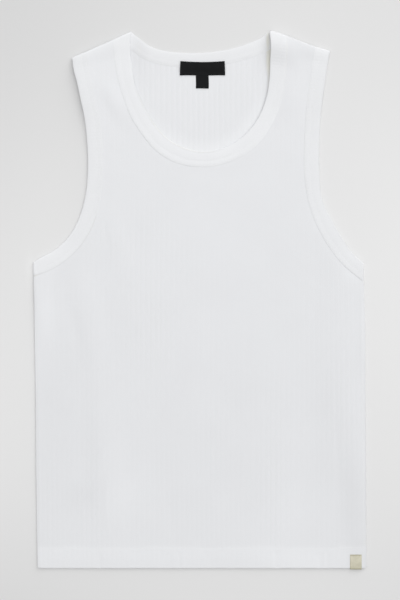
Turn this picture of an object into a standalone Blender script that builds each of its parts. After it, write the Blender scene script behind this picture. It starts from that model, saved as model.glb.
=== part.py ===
"""A rib-knit tank top laid flat on its back.

The pieces are the ones a maker cuts and sews on: a back panel, a front panel, one neckband ring, one
armband ring at each armhole, a neck label, a size label and a loop tab in the hem. X runs across the
body, Y runs from the hem to the shoulders and Z is up from the surface that the garment lies on.
Lengths in the tables and constants are millimetres. The scene is in metres.
"""

import math
from bisect import bisect_right
from collections import namedtuple

import bmesh
import bpy
from mathutils import Vector

MM = 0.001

# Cloth thickness. The knit stands on a plain wall, and its ribs are raised on the side that shows.
PANEL_WALL = 1.2
PANEL_RIB = 0.4
BAND_WALL = 2.6
BAND_RIB = 0.35
HEM_WALL = 2.1
LABEL_WALL = 0.5
TAB_WALL = 0.7

# Ribs: how many cross each panel, and how far apart they stand along the bands.
FRONT_RIBS = 66
BACK_RIBS = 61
BAND_RIB_PITCH = 4.3

# Fits between the pieces.
SEAM_GAP = 0.3
CUT_EASE = 0.1  # added where a panel is cut beside a curved seam, for the chords between its points
LAP = PANEL_WALL + PANEL_RIB + SEAM_GAP  # lowest that anything lies on the back panel
BAND_SINK = 0.5  # how far a band's underside is below the underside of the panel beside it
FRONT_REST = LAP + BAND_SINK  # height of the front panel's underside where the cloth lies flat
ARM_REST = BAND_WALL + SEAM_GAP + BAND_SINK  # where an armband lies on its own back half
SHOULDER_REST = BAND_WALL + BAND_RIB + SEAM_GAP + BAND_SINK  # where the front neckband lies on the back one
ARM_RISE_REACH = 40.0  # how far from an armband the front has come down to its lower rest
ARM_EDGE_STEP = 12.0
SHOULDER_RISE_FROM = 215.0
SHOULDER_RISE_LENGTH = 60.0

# Panel outline.
HALF_WIDTH = 222.6
HEM_Y = -361.5
HEM_DEPTH = 25.6
HEM_STEP = 1.5  # half the width of the slope from the turned-up hem to the single cloth
HEM_EDGE = 0.9  # thickness left at the rounded lower edge
CORNER_RADIUS = 4.0
SIDE_FOLLOW = 4  # powers of the place across: how closely the columns follow the shape of the sides,
CORNER_FOLLOW = 40  # and how few of them are drawn in at the rounded corners
SIDE_SEAM_TOP = 40.0
ROLL = 1.0  # width of the lip that turns down to a side or shoulder seam
THIN_EDGE = 0.45
UNDERSIDE_RIB_STEP = 6  # rib columns to one column of the plain side
CUT_ROOM = 25.0  # how far the patterns reach past the cloth

# Rows of a panel: from its lower edge up, across its body, and from the shoulder line.
HEM_ROWS = (0.0, 1.4, HEM_DEPTH - HEM_STEP, HEM_DEPTH + HEM_STEP)
BACK_ROWS = (-150.0, -10.0, 60.0, 260.0)
FRONT_ROWS = (-290.0, -240.0, -190.0, -140.0, -90.0, -45.0, 0.0, 40.0, 80.0, 125.0, 170.0, 215.0, 260.0)
SHOULDER_ROWS = (-30.0, -12.0, -5.0, -2.6, -ROLL, 0.0)

BAND_WIDTH = 20.5
BAND_EDGE_ROUND = 1.3
FOLD_STEPS = 4
ARM_BACK_STEP = 9.0  # spacing of the sections of the hidden, plain back half of an armband

Side = namedtuple("Side", "y left right")
SIDES = [
    Side(-361.5, -219.3, 224.6),
    Side(-230.0, -220.9, 223.9),
    Side(-128.0, -221.5, 223.2),
    Side(-40.0, -222.9, 222.9),
    Side(20.0, -223.9, 221.1),
    Side(50.0, -224.6, 220.4),
]

Corner = namedtuple("Corner", "x y")
SHOULDER = [
    Corner(-230.0, 318.0),
    Corner(-173.7, 326.2),
    Corner(-92.9, 362.0),
    Corner(95.0, 363.6),
    Corner(110.0, 359.9),
    Corner(148.0, 344.9),
    Corner(175.6, 336.2),
    Corner(230.0, 326.0),
]

# A band's stations, from one fold to the next: its free edge, its seam, and how far the free edge is
# lifted off the layer below.
Station = namedtuple("Station", "edge_x edge_y seam_x seam_y lift")
NECK_FRONT = [
    Station(-92.9, 362.0, -117.9, 350.9, 0.0),
    Station(-94.8, 350.5, -117.5, 341.0, 0.0),
    Station(-94.5, 335.0, -116.4, 329.5, 0.0),
    Station(-92.0, 314.5, -113.8, 311.0, 0.0),
    Station(-89.5, 296.0, -110.0, 292.5, 0.0),
    Station(-83.5, 277.5, -103.2, 271.0, 0.0),
    Station(-73.5, 256.5, -94.0, 248.0, 0.0),
    Station(-60.5, 235.5, -78.5, 223.5, 0.0),
    Station(-43.5, 217.3, -58.5, 200.5, 0.0),
    Station(-21.0, 205.0, -30.5, 184.8, 0.0),
    Station(6.6, 200.0, 6.6, 179.8, 0.2),
    Station(37.5, 207.5, 43.5, 188.0, 0.8),
    Station(58.5, 221.5, 71.5, 205.0, 1.6),
    Station(76.5, 243.0, 93.5, 231.5, 2.4),
    Station(88.5, 270.0, 108.0, 263.5, 3.0),
    Station(93.6, 297.0, 114.5, 293.5, 3.2),
    Station(95.0, 325.0, 116.6, 322.0, 3.0),
    Station(95.2, 347.0, 117.5, 345.0, 1.4),
    Station(95.0, 363.6, 117.3, 357.1, 0.0),
]
NECK_BACK = [
    Station(95.0, 363.6, 117.3, 357.1, 0.0),
    Station(84.0, 355.7, 94.8, 339.3, 0.0),
    Station(68.5, 348.0, 76.0, 330.5, 0.0),
    Station(50.5, 341.8, 56.3, 323.9, 0.0),
    Station(26.5, 336.6, 29.7, 317.9, 0.0),
    Station(0.0, 333.9, 0.4, 314.7, 0.0),
    Station(-29.5, 334.4, -31.5, 315.4, 0.0),
    Station(-53.8, 337.9, -59.5, 319.8, 0.0),
    Station(-70.0, 344.3, -79.5, 328.0, 0.0),
    Station(-83.5, 354.4, -95.0, 339.5, 0.0),
    Station(-92.9, 362.0, -117.9, 350.9, 0.0),
]
ARM_LEFT = [
    Station(-173.7, 326.2, -154.0, 334.9, 0.0),
    Station(-170.9, 311.5, -150.2, 315.0, 0.0),
    Station(-166.6, 295.8, -147.0, 299.8, 0.0),
    Station(-161.0, 269.8, -141.4, 273.8, 0.0),
    Station(-155.6, 242.5, -135.5, 246.0, 0.0),
    Station(-152.5, 209.5, -132.0, 210.5, 0.0),
    Station(-151.6, 182.0, -131.1, 181.5, 0.0),
    Station(-153.8, 148.5, -133.8, 144.0, 0.0),
    Station(-159.7, 121.5, -140.5, 115.0, 0.0),
    Station(-171.6, 94.5, -155.0, 83.5, 0.0),
    Station(-182.0, 81.0, -168.3, 67.0, 0.0),
    Station(-199.5, 67.5, -188.5, 51.5, 0.0),
    Station(-216.0, 56.8, -205.9, 41.0, 0.0),
    Station(-224.6, 51.0, -224.3, 33.0, 0.0),
]
ARM_RIGHT = [
    Station(175.6, 336.2, 155.8, 342.4, 0.0),
    Station(172.5, 321.5, 152.0, 323.5, 0.0),
    Station(168.9, 297.5, 148.7, 300.0, 0.0),
    Station(165.3, 270.0, 144.8, 272.0, 0.0),
    Station(162.3, 243.0, 142.0, 244.3, 0.0),
    Station(160.8, 209.3, 140.5, 209.3, 0.0),
    Station(161.1, 169.0, 140.9, 167.5, 0.0),
    Station(165.0, 135.0, 145.7, 129.6, 0.0),
    Station(177.4, 108.0, 159.0, 99.6, 0.0),
    Station(193.6, 81.0, 177.8, 68.4, 0.0),
    Station(204.4, 67.5, 190.2, 53.3, 0.0),
    Station(215.2, 56.8, 201.0, 39.8, 0.0),
    Station(220.5, 50.7, 221.6, 28.5, 0.0),
]

# Soft ridges that the laid cloth keeps: centre, half width, half length, lean from the Y axis and height.
Fold = namedtuple("Fold", "x y half_width half_length lean height")
FOLDS = [
    Fold(-150.0, -28.0, 30.0, 110.0, 11.0, 1.5),
    Fold(-127.0, -215.0, 36.0, 160.0, 3.0, 1.7),
    Fold(211.0, -210.0, 30.0, 140.0, 0.0, 1.5),
    Fold(112.0, -230.0, 42.0, 110.0, -2.0, 0.8),
    Fold(-10.0, -130.0, 60.0, 150.0, 2.0, 0.6),
    Fold(-110.0, 72.0, 26.0, 75.0, 12.0, 0.8),
    Fold(-118.0, 278.0, 24.0, 62.0, -14.0, 1.0),
    Fold(118.0, 300.0, 34.0, 75.0, 2.0, 1.8),
    Fold(128.0, 70.0, 40.0, 90.0, -12.0, 0.7),
    Fold(212.0, -362.0, 45.0, 70.0, 0.0, 1.4),
]

# Tapes, as sections from their top edge down. The neck label steps down from the back neckband, where
# it is sewn on, to the back panel.
Tape = namedtuple("Tape", "left right y on_band")
NECK_LABEL = [
    Tape(-25.4, 31.5, 322.0, True),
    Tape(-26.2, 32.9, 313.0, True),
    Tape(-26.7, 33.3, 304.2, False),
]
SIZE_LABEL = [
    Tape(-5.8, 10.9, 303.8, False),
    Tape(-5.8, 10.9, 286.0, False),
]
TAB_LEFT, TAB_RIGHT = 202.1, 217.9
TAB_TOP = -343.6
TAB_INNER_LEG = 5.0
TAB_FOLD_IN = 0.2  # how far in from the hem's edge the middle of the tab's fold is
TAB_FOLD_STEPS = 6

COTTON = (0.80, 0.81, 0.83, 1.0)
BAND_COTTON = (0.83, 0.84, 0.85, 1.0)
BLACK_TAPE = (0.03, 0.032, 0.034, 1.0)
CREAM_TAPE = (0.62, 0.59, 0.46, 1.0)


# ---------------------------------------------------------------- curves and heights


def clamp01(value):
    return min(1.0, max(0.0, value))


def smooth(value):
    """0 to 1 with level ends."""
    value = clamp01(value)
    return value * value * (3 - 2 * value)


def linear(rows, x):
    """The last column of the rows at x, which is measured along their first."""
    low = min(max(bisect_right([row[0] for row in rows], x) - 1, 0), len(rows) - 2)
    first, second = rows[low], rows[low + 1]
    return first[-1] + (second[-1] - first[-1]) * (x - first[0]) / (second[0] - first[0])


def side_x(y, right):
    return linear([(row.y, row.right if right else row.left) for row in SIDES], y)


def shoulder_y(x):
    return linear(SHOULDER, x)


def slopes(places, values):
    """The slope at each place of a smooth curve through the values."""
    steps = [(values[i + 1] - values[i]) / (places[i + 1] - places[i]) for i in range(len(places) - 1)]
    inner = [
        (steps[i - 1] * (places[i + 1] - places[i]) + steps[i] * (places[i] - places[i - 1]))
        / (places[i + 1] - places[i - 1])
        for i in range(1, len(steps))
    ]
    return [steps[0]] + inner + [steps[-1]]


def sample(stations, spacing):
    """Stations this far apart on the smooth curves through the given ones, both ends included."""
    middles = [Vector(((s.edge_x + s.seam_x) / 2, (s.edge_y + s.seam_y) / 2)) for s in stations]
    places = [0.0]
    for before, after in zip(middles, middles[1:]):
        places.append(places[-1] + (after - before).length)
    columns = [list(column) for column in zip(*stations)]
    tangents = [slopes(places, column) for column in columns]
    count = max(2, round(places[-1] / spacing))
    count += count % 2
    found = []
    for step in range(count + 1):
        along = places[-1] * step / count
        k = min(max(bisect_right(places, along) - 1, 0), len(places) - 2)
        run = places[k + 1] - places[k]
        t = (along - places[k]) / run
        start, end = 2 * t**3 - 3 * t**2 + 1, 3 * t**2 - 2 * t**3
        leave, arrive = (t**3 - 2 * t**2 + t) * run, (t**3 - t**2) * run
        values = [
            start * v[k] + leave * m[k] + end * v[k + 1] + arrive * m[k + 1]
            for v, m in zip(columns, tangents)
        ]
        found.append(Station(*values))
    return found


def edge_distance(x, y, path):
    """Distance from a point to a line of points."""
    point = Vector((x, y))
    best = math.inf
    for start, end in zip(path, path[1:]):
        run = end - start
        t = clamp01((point - start).dot(run) / run.length_squared)
        best = min(best, (start + run * t - point).length)
    return best


ARM_EDGES = [
    [Vector((s.edge_x, s.edge_y)) for s in sample(arm, ARM_EDGE_STEP)] for arm in (ARM_LEFT, ARM_RIGHT)
]


def fold_height(fold, x, y):
    lean = math.radians(fold.lean)
    dx, dy = x - fold.x, y - fold.y
    across = (dx * math.cos(lean) + dy * math.sin(lean)) / fold.half_width
    along = (dy * math.cos(lean) - dx * math.sin(lean)) / fold.half_length
    if abs(across) >= 1 or abs(along) >= 1:
        return 0.0
    return fold.height * math.cos(math.pi / 2 * across) ** 2 * math.cos(math.pi / 2 * along) ** 2


def flat_rest(x, y):
    """Height of the front cloth's underside, folds left out: it lies on the bands' back halves and slopes
    down to the back panel between them."""
    nearest = min(edge_distance(x, y, path) for path in ARM_EDGES)
    arm = (ARM_REST - FRONT_REST) * smooth(1 - (nearest - BAND_WIDTH) / ARM_RISE_REACH)
    shoulder = (SHOULDER_REST - FRONT_REST) * smooth((y - SHOULDER_RISE_FROM) / SHOULDER_RISE_LENGTH)
    return FRONT_REST + max(arm, shoulder)


def rest(x, y):
    """Height of the front cloth's underside."""
    return flat_rest(x, y) + sum(fold_height(fold, x, y) for fold in FOLDS)


# ---------------------------------------------------------------- making solids


def material(name, colour, roughness):
    made = bpy.data.materials.new(name)
    made.use_nodes = True
    shader = made.node_tree.nodes["Principled BSDF"]
    shader.inputs["Base Color"].default_value = colour
    shader.inputs["Roughness"].default_value = roughness
    shader.inputs["Metallic"].default_value = 0.0
    return made


def object_from(name, bm, collection, finish=None):
    mesh = bpy.data.meshes.new(name)
    bm.to_mesh(mesh)
    bm.free()
    made = bpy.data.objects.new(name, mesh)
    collection.objects.link(made)
    if finish:
        mesh.materials.append(finish)
    return made


def loft(rings, around=False):
    """Skin between rings of points. Around joins the last ring to the first, and otherwise both get caps."""
    bm = bmesh.new()
    lines = [[bm.verts.new(Vector(point) * MM) for point in ring] for ring in rings]
    pairs = list(zip(lines, lines[1:])) + ([(lines[-1], lines[0])] if around else [])
    for first, second in pairs:
        for i in range(len(first)):
            j = (i + 1) % len(first)
            bm.faces.new((first[i], first[j], second[j], second[i]))
    if not around:
        bm.faces.new(lines[0])
        bm.faces.new(reversed(lines[-1]))
    bmesh.ops.recalc_face_normals(bm, faces=bm.faces)
    return bm


def prism(name, outline, low, high, collection):
    """A cutter: the outline pulled up from one height to the other."""
    bm = bmesh.new()
    face = bm.faces.new([bm.verts.new(Vector((x, y, low)) * MM) for x, y in outline])
    pulled = bmesh.ops.extrude_face_region(bm, geom=[face])["geom"]
    tops = [item for item in pulled if isinstance(item, bmesh.types.BMVert)]
    bmesh.ops.translate(bm, verts=tops, vec=(0, 0, (high - low) * MM))
    bmesh.ops.recalc_face_normals(bm, faces=bm.faces)
    made = object_from(name, bm, collection)
    made.hide_render = True
    made.display_type = "WIRE"
    return made


# ---------------------------------------------------------------- panels


def curl(distance, height):
    """Height of a quarter round at this distance in from its end."""
    if distance >= height:
        return height
    return max(THIN_EDGE, math.sqrt(height**2 - (height - distance) ** 2))


def panel_point(u, y, sloped):
    """Where the column u, from -1 to 1, crosses a row. A sloped row is y above the shoulder line."""
    shift = side_x(y, u > 0) - math.copysign(HALF_WIDTH, u)
    x = u * HALF_WIDTH + (0.0 if sloped else shift * abs(u) ** SIDE_FOLLOW)
    if sloped:
        return x, shoulder_y(x) + y
    corner = CORNER_RADIUS - (y - HEM_Y)
    if corner > 0:
        drawn_in = CORNER_RADIUS - math.sqrt(max(0.0, CORNER_RADIUS**2 - corner**2))
        x -= math.copysign(abs(u) ** CORNER_FOLLOW, u) * drawn_in
    return x, y


def wall_heights(x, y, edge, front, rib):
    """Underside and top of a panel, with its lip turned to the seam that it shares with the other panel."""
    hem = smooth((HEM_Y + HEM_DEPTH + HEM_STEP - y) / (2 * HEM_STEP))
    wall = PANEL_WALL + (HEM_WALL - PANEL_RIB - PANEL_WALL) * hem
    under = rest(x, y)
    seam = (flat_rest(x, y) + wall) / 2
    if front:
        low, high = under, under + wall + rib
        if edge < high - seam:
            high = seam + SEAM_GAP / 2 + curl(edge, high - seam - SEAM_GAP / 2)
        if edge <= ROLL:
            low = seam + SEAM_GAP / 2
    else:
        low, high = 0.0, wall + rib
        reach = seam - SEAM_GAP / 2
        if edge < reach:
            low = reach - curl(edge, reach)
        if edge <= ROLL:
            high = reach
    return low, high


def hem_round(y, front, low, high):
    """The fold at the hem's edge is rounded on its outer side."""
    inward = y - HEM_Y
    thick = high - low
    if inward >= thick:
        return low, high
    left = max(HEM_EDGE, math.sqrt(max(0.0, thick**2 - (thick - inward) ** 2)))
    return (low, low + min(left, thick)) if front else (high - min(left, thick), high)


def panel_solid(ribs, front):
    """Sections across the body from the hem up: the ribbed side and the plain side of one wall."""
    lip = 1 - ROLL / HALF_WIDTH
    us = sorted([-1 + i / ribs for i in range(2 * ribs + 1)] + [-lip, lip])
    plain = [k for k, u in enumerate(us) if k < 3 or k >= len(us) - 3 or k % UNDERSIDE_RIB_STEP == 0]
    straight = [HEM_Y + d for d in HEM_ROWS] + list(FRONT_ROWS if front else BACK_ROWS)
    rings = []
    for row in [(y, False) for y in straight] + [(drop, True) for drop in SHOULDER_ROWS]:
        ribbed, flat = [], []
        for k, u in enumerate(us):
            x, y = panel_point(u, *row)
            rib = PANEL_RIB if k % 2 == 0 and 2 < k < len(us) - 3 else 0.0
            sides = min(abs(x - side_x(y, False)), abs(side_x(y, True) - x))
            edge = min(sides if y < SIDE_SEAM_TOP else math.inf, shoulder_y(x) - y)
            low, high = wall_heights(x, y, max(0.0, edge), front, rib)
            low, high = hem_round(y, front, low, high)
            ribbed.append((x, y, high))
            if k in plain:
                flat.append((x, y, low))
        rings.append(ribbed + flat[::-1])
    return loft(rings)


def seam_cut(stations):
    """The line that a panel is cut to beside a band, run straight on past the fold at each end."""
    drawn = inset(stations, fold_reach(stations))
    rows = sample(drawn, BAND_RIB_PITCH)
    seams = [Vector((s.seam_x, s.seam_y)) for s in rows]
    line = []
    for i, row in enumerate(rows):
        run = (seams[min(i + 1, len(seams) - 1)] - seams[max(i - 1, 0)]).normalized()
        normal = Vector((-run.y, run.x))
        if normal.dot(seams[i] - Vector((row.edge_x, row.edge_y))) < 0:
            normal.negate()
        line.append(seams[i] + normal * (SEAM_GAP + CUT_EASE))
    first, last = outward(drawn[0], drawn[1]), outward(drawn[-1], drawn[-2])
    return [line[0] + first * CUT_ROOM] + line + [line[-1] + last * CUT_ROOM]


def pattern(neck):
    """The outline that a panel is cut to, with room to spare past its sides, hem and shoulders."""
    right, left, neckline = seam_cut(ARM_RIGHT)[::-1], seam_cut(ARM_LEFT), seam_cut(neck)
    if neckline[0].x < neckline[-1].x:
        neckline.reverse()
    below = HEM_Y - CUT_ROOM
    corners = [Vector((-HALF_WIDTH - CUT_ROOM, below)), Vector((HALF_WIDTH + CUT_ROOM, below))]
    return corners + right + neckline + left


def panel(name, ribs, front, neck, parts, cutters, finish):
    made = object_from(name, panel_solid(ribs, front), parts, finish)
    cutter = prism(name + "_pattern", pattern(neck), -20.0, 40.0, cutters)
    cut = made.modifiers.new("cut to the pattern", "BOOLEAN")
    cut.operation = "INTERSECT"
    cut.object = cutter
    return made


# ---------------------------------------------------------------- bands


def band_ring(edge, seam, across_normal, outer_rib, inner_rib):
    """One section of a band: a doubled strip with its fold at the free edge. Edge and seam are the ends of
    its middle line, and the normal points to the side that is outside on the body."""
    across = seam - edge
    start = across.normalized() * BAND_EDGE_ROUND
    out = across_normal * (BAND_WALL / 2 + outer_rib)
    back = across_normal * (BAND_WALL / 2 + inner_rib)
    return [edge, edge + start + out, seam + out, seam - back, edge + start - back]


def band_layer(stations, heights, normal, ribs):
    """Sections along one layer of a band. Ribs is the height of a rib on the outer and the inner side."""
    rings = []
    for i, s in enumerate(stations):
        edge_z, seam_z = heights(s)
        raised = i % 2 == 1
        rings.append(
            band_ring(
                Vector((s.edge_x, s.edge_y, edge_z)),
                Vector((s.seam_x, s.seam_y, seam_z)),
                normal,
                ribs[0] if raised else 0.0,
                ribs[1] if raised else 0.0,
            )
        )
    return rings


def front_heights(s):
    """Middle heights of a front band at its free edge and at its seam."""
    half = BAND_WALL / 2 - BAND_SINK
    return rest(s.edge_x, s.edge_y) + half + s.lift, rest(s.seam_x, s.seam_y) + half


def back_heights(_):
    return BAND_WALL / 2, BAND_WALL / 2


def outward(fold, inner):
    """Away from the cloth, square to the fold of a band."""
    along = Vector((fold.seam_x - fold.edge_x, fold.seam_y - fold.edge_y)).normalized()
    away = Vector((-along.y, along.x))
    return away if away.dot(Vector((fold.edge_x - inner.edge_x, fold.edge_y - inner.edge_y))) > 0 else -away


def fold_reach(stations):
    """How far the rolled cloth stands out past the middle of a band's fold."""
    highest = max(max(front_heights(stations[0])), max(front_heights(stations[-1])))
    return (highest + BAND_WALL / 2) / 2


def inset(stations, reach):
    """The stations with the fold at each end drawn in, so that the rolled cloth ends at the outline."""
    moved = list(stations)
    for place, inner in ((0, 1), (-1, -2)):
        row = stations[place]
        shift = outward(row, stations[inner]) * -reach
        moved[place] = Station(
            row.edge_x + shift.x, row.edge_y + shift.y, row.seam_x + shift.x, row.seam_y + shift.y, row.lift
        )
    return moved


def turn(station, inner, to_back):
    """The sections that carry a band round its fold, between the front layer and the back one."""
    edge = Vector((station.edge_x, station.edge_y, 0.0))
    seam = Vector((station.seam_x, station.seam_y, 0.0))
    away = outward(station, inner).to_3d()
    front_edge, front_seam = front_heights(station)
    rings = []
    for step in range(1, FOLD_STEPS):
        angle = math.pi * (step if to_back else FOLD_STEPS - step) / FOLD_STEPS
        normal = Vector((0, 0, 1)) * math.cos(angle) + away * math.sin(angle)
        ends = []
        for point, front in ((edge, front_edge), (seam, front_seam)):
            middle = (front + BAND_WALL / 2) / 2
            ends.append(point + Vector((0, 0, middle)) + normal * (front - middle))
        rings.append(band_ring(ends[0], ends[1], normal, 0.0, 0.0))
    return rings


def band(name, front, back, back_spacing, back_rib, parts, finish):
    """A closed ring of strip: along the front layer, round the fold, along the back layer and round again."""
    reach = fold_reach(front)
    front, back = inset(front, reach), inset(back, reach)
    over = sample(front, BAND_RIB_PITCH / 2)
    under = sample(back, back_spacing)
    up = Vector((0, 0, 1))
    rings = band_layer(over, front_heights, up, (BAND_RIB, 0.0))
    rings += turn(over[-1], over[-2], True)
    rings += band_layer(under, back_heights, -up, (0.0, back_rib))
    rings += turn(over[0], over[1], False)
    return object_from(name, loft(rings, around=True), parts, finish)


# ---------------------------------------------------------------- labels and tab


def label(name, sections, parts, finish):
    rings = []
    for left, right, y, on_band in sections:
        low = BAND_WALL + BAND_RIB + SEAM_GAP if on_band else LAP
        high = low + LABEL_WALL
        rings.append([(left, y, low), (right, y, low), (right, y, high), (left, y, high)])
    return object_from(name, loft(rings), parts, finish)


def hem_tab(parts, finish):
    """Tape folded over the edge of the front hem: a long leg on top, and a short one inside."""
    middle = (TAB_LEFT + TAB_RIGHT) / 2
    heights = [rest(x, y) for x in (TAB_LEFT, middle, TAB_RIGHT) for y in (HEM_Y, TAB_TOP)]
    under = min(heights) - SEAM_GAP
    over = max(heights) + HEM_WALL + SEAM_GAP
    angles = [math.pi * (step / TAB_FOLD_STEPS - 0.5) for step in range(TAB_FOLD_STEPS + 1)]

    def bend(radius):
        """Half round from the inner leg up to the outer one."""
        centre_y, centre_z = HEM_Y + TAB_FOLD_IN, (over + under) / 2
        return [(centre_y - radius * math.cos(a), centre_z + radius * math.sin(a)) for a in angles]

    radius = (over - under) / 2
    leg_y = HEM_Y + TAB_INNER_LEG
    outside = [(leg_y, under - TAB_WALL)] + bend(radius + TAB_WALL) + [(TAB_TOP, over + TAB_WALL)]
    inside = [(leg_y, under)] + bend(radius) + [(TAB_TOP, over)]
    profile = outside + inside[::-1]
    sections = [[(x, y, z) for y, z in profile] for x in (TAB_LEFT, TAB_RIGHT)]
    return object_from("hem_tab", loft(sections), parts, finish)


# ---------------------------------------------------------------- the garment


def centre(objects):
    """Moves the whole garment so that its box stands centred on the origin, on Z = 0."""
    bpy.context.view_layer.update()
    graph = bpy.context.evaluated_depsgraph_get()
    corners = [made.matrix_world @ Vector(c) for made in objects for c in made.evaluated_get(graph).bound_box]
    low = Vector([min(c[i] for c in corners) for i in range(3)])
    high = Vector([max(c[i] for c in corners) for i in range(3)])
    shift = Vector((-(low.x + high.x) / 2, -(low.y + high.y) / 2, -low.z))
    print("box", [round(v / MM, 2) for v in high - low], "shift", [round(v / MM, 3) for v in shift])
    for made in list(objects) + [o for o in bpy.data.objects if o.hide_render]:
        made.location += shift


def main():
    for old in list(bpy.data.objects):
        bpy.data.objects.remove(old, do_unlink=True)
    parts = bpy.data.collections.new("tank_top")
    cutters = bpy.data.collections.new("patterns")
    for made in (parts, cutters):
        bpy.context.scene.collection.children.link(made)

    knit = material("rib_knit", COTTON, 0.9)
    band_knit = material("band_knit", BAND_COTTON, 0.88)
    black = material("black_tape", BLACK_TAPE, 0.75)
    cream = material("cream_tape", CREAM_TAPE, 0.8)

    made = [
        panel("back_panel", BACK_RIBS, False, NECK_BACK, parts, cutters, knit),
        panel("front_panel", FRONT_RIBS, True, NECK_FRONT, parts, cutters, knit),
        band("neckband", NECK_FRONT, NECK_BACK, BAND_RIB_PITCH / 2, BAND_RIB, parts, band_knit),
        band("armband_left", ARM_LEFT, ARM_LEFT[::-1], ARM_BACK_STEP, 0.0, parts, band_knit),
        band("armband_right", ARM_RIGHT, ARM_RIGHT[::-1], ARM_BACK_STEP, 0.0, parts, band_knit),
        label("neck_label", NECK_LABEL, parts, black),
        label("size_label", SIZE_LABEL, parts, black),
        hem_tab(parts, cream),
    ]
    centre(made)


main()
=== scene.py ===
# %% [markdown]
# # A ribbed tank top, laid flat
# The garment lies face up on a pale table and is seen from straight above. It is sewn from eight
# pieces: a front and a back panel of rib knit, three bands of doubled rib that bind the neck and
# the armholes, two black labels and a small cream loop in the hem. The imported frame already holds
# a plain solid for each piece. This lesson lays a finer cloth on each of them.

import math
from collections import namedtuple
from functools import partial

import bpy
import numpy as np
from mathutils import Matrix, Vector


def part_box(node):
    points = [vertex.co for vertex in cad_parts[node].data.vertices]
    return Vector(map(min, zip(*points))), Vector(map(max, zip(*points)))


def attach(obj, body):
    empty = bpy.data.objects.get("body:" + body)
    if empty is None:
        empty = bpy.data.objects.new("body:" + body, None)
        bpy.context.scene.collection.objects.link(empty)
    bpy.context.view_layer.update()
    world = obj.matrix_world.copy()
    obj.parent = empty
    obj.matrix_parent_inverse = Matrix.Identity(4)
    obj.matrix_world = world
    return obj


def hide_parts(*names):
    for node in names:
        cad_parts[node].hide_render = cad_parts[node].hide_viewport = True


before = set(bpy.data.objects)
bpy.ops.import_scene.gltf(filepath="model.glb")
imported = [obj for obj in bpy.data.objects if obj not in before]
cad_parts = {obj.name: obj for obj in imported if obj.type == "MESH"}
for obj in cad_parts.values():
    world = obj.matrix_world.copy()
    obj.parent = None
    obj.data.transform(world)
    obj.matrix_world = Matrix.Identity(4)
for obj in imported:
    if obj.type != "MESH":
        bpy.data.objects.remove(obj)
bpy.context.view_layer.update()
MM = 0.001


def rows_of(kind, *rows):
    """A table: every row gets the names of its columns."""
    return [kind(*row) for row in rows]


# %% [markdown]
# ## Camera, table and light
# The camera looks straight down through a long lens, so that the sides of the cloth stay upright
# in the picture. One picture column covers 1.35 mm of cloth. The light is what a studio gives
# white cloth: a room that is brightest overhead and a little brighter on one side, and a large
# soft lamp from the upper right, low enough to draw a thin shadow along the left edges. A small
# weak lamp stands at the far end of the table.

# %% Camera
PICTURE = (400, 600)
COLUMN = 1.35 * MM
LENS = 100.0
CLOTH_TOP = 4 * MM
OFF_MIDDLE = (-0.2 * MM, 0.3 * MM)
camera_data = bpy.data.cameras.new("camera")
camera_data.lens = LENS
camera = bpy.data.objects.new("camera", camera_data)
bpy.context.scene.collection.objects.link(camera)
height = PICTURE[1] * COLUMN * LENS / camera_data.sensor_width
camera.location = (*OFF_MIDDLE, CLOTH_TOP + height)
bpy.context.scene.camera = camera
print("camera height", round(height, 3), "m")


# %% Helpers for node trees
def value(tree, operation, *inputs):
    """A Math node. An input is a number or another node's output."""
    node = tree.nodes.new("ShaderNodeMath")
    node.operation = operation
    for socket, given in zip(node.inputs, inputs):
        if isinstance(given, (int, float)):
            socket.default_value = given
        else:
            tree.links.new(given, socket)
    return node.outputs[0]


def parts(tree, vector):
    """The X, the Y and the Z of a vector."""
    node = tree.nodes.new("ShaderNodeSeparateXYZ")
    tree.links.new(vector, node.inputs[0])
    return tuple(node.outputs)


def painted(tree, name):
    """A number that was painted on the cloth's points."""
    node = tree.nodes.new("ShaderNodeAttribute")
    node.attribute_name = name
    return node.outputs["Fac"]


def noise(tree, vector, scale, detail=2.0):
    node = tree.nodes.new("ShaderNodeTexNoise")
    node.inputs["Scale"].default_value = scale
    node.inputs["Detail"].default_value = detail
    tree.links.new(vector, node.inputs["Vector"])
    return node.outputs["Fac"]


def tint(tree, shader, amount, low, high, between=()):
    """The surface's colour, mixed by an amount from 0 to 1, with colours at places between."""
    mix = tree.nodes.new("ShaderNodeValToRGB")
    mix.color_ramp.elements[0].color = (*low, 1)
    mix.color_ramp.elements[1].color = (*high, 1)
    for place, colour in between:
        mix.color_ramp.elements.new(place).color = (*colour, 1)
    tree.links.new(amount, mix.inputs["Fac"])
    tree.links.new(mix.outputs["Color"], shader.inputs["Base Color"])


def bump(tree, shader, height_socket, depth, strength):
    """Relief of this real depth, in metres."""
    node = tree.nodes.new("ShaderNodeBump")
    node.inputs["Strength"].default_value = strength
    node.inputs["Distance"].default_value = depth
    tree.links.new(height_socket, node.inputs["Height"])
    tree.links.new(node.outputs["Normal"], shader.inputs["Normal"])


def finish(name, roughness, sheen=0.0, sheen_roughness=0.5, specular=0.25):
    """A new material, its tree and its shader."""
    made = bpy.data.materials.new(name)
    made.use_nodes = True
    shader = made.node_tree.nodes["Principled BSDF"]
    shader.inputs["Roughness"].default_value = roughness
    shader.inputs["Sheen Weight"].default_value = sheen
    shader.inputs["Sheen Roughness"].default_value = sheen_roughness
    shader.inputs["Specular IOR Level"].default_value = specular
    return made, made.node_tree, shader


# %% Helpers for meshes
def new_mesh(add, **options):
    """What one of Blender's own mesh operators adds."""
    bpy.ops.object.select_all(action="DESELECT")
    add(**options)
    return bpy.context.active_object


def modify(made, kind, **settings):
    """Adds a modifier with these settings and applies it."""
    modifier = made.modifiers.new(kind.lower(), kind)
    for setting, given in settings.items():
        setattr(modifier, setting, given)
    bpy.context.view_layer.objects.active = made
    bpy.ops.object.modifier_apply(modifier=modifier.name)


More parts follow.
